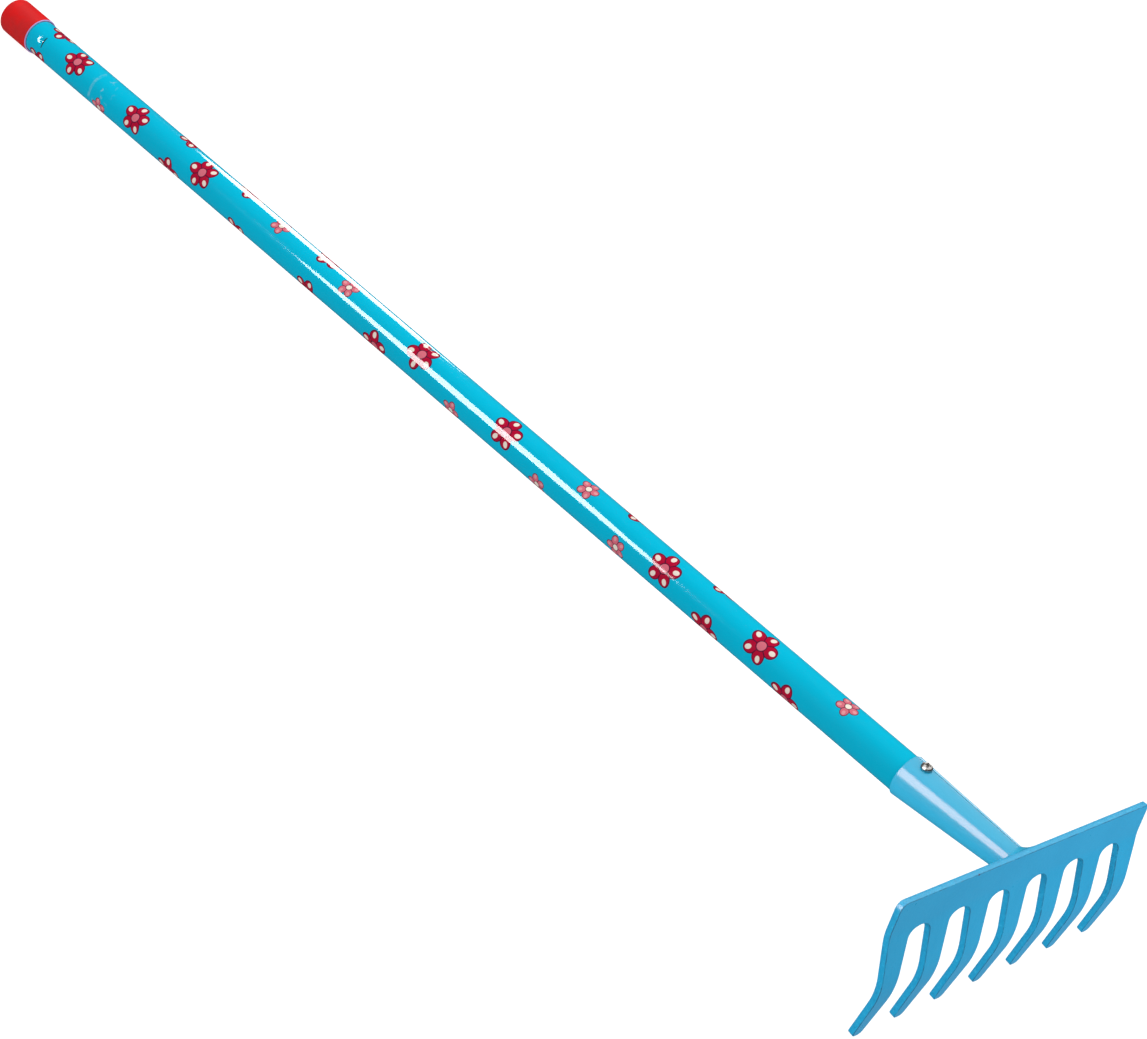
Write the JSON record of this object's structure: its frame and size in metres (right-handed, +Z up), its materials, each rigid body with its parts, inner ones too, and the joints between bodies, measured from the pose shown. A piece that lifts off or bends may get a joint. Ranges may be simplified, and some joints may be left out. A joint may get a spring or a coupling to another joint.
{
  "type": "kids rake",
  "caption": "Child-size garden rake: bent steel plate head with tapering tines, welded cone socket, screwed film-covered tube handle and plastic end cap.",
  "frame": {"origin": "bottom centre of the bounding box: on the ground, half way along the rake, in its plane of symmetry", "axes": "+Y along the handle from the head to the cap, +X along the head, +Z up; the rake lies on its tine tips and its cap"},
  "size_m": [0.1956, 0.8078, 0.0733],
  "materials": {
    "head_paint": "satin powder paint, mid blue",
    "socket_paint": "satin powder paint, light blue",
    "weld_paint": "satin powder paint over weld metal",
    "screw_steel": "bright steel",
    "tube_steel": "bare drawn steel, hidden under the film",
    "film_print": "glossy printed film, cyan ground",
    "cap_plastic": "satin moulded plastic, red"
  },
  "bodies": {
    "root": {"rake_head": "head_paint", "socket": "socket_paint", "socket_weld": "weld_paint", "socket_screw": "screw_steel", "handle_tube": "tube_steel", "handle_film": "film_print", "end_cap": "cap_plastic"}
  },
  "joints": []
}
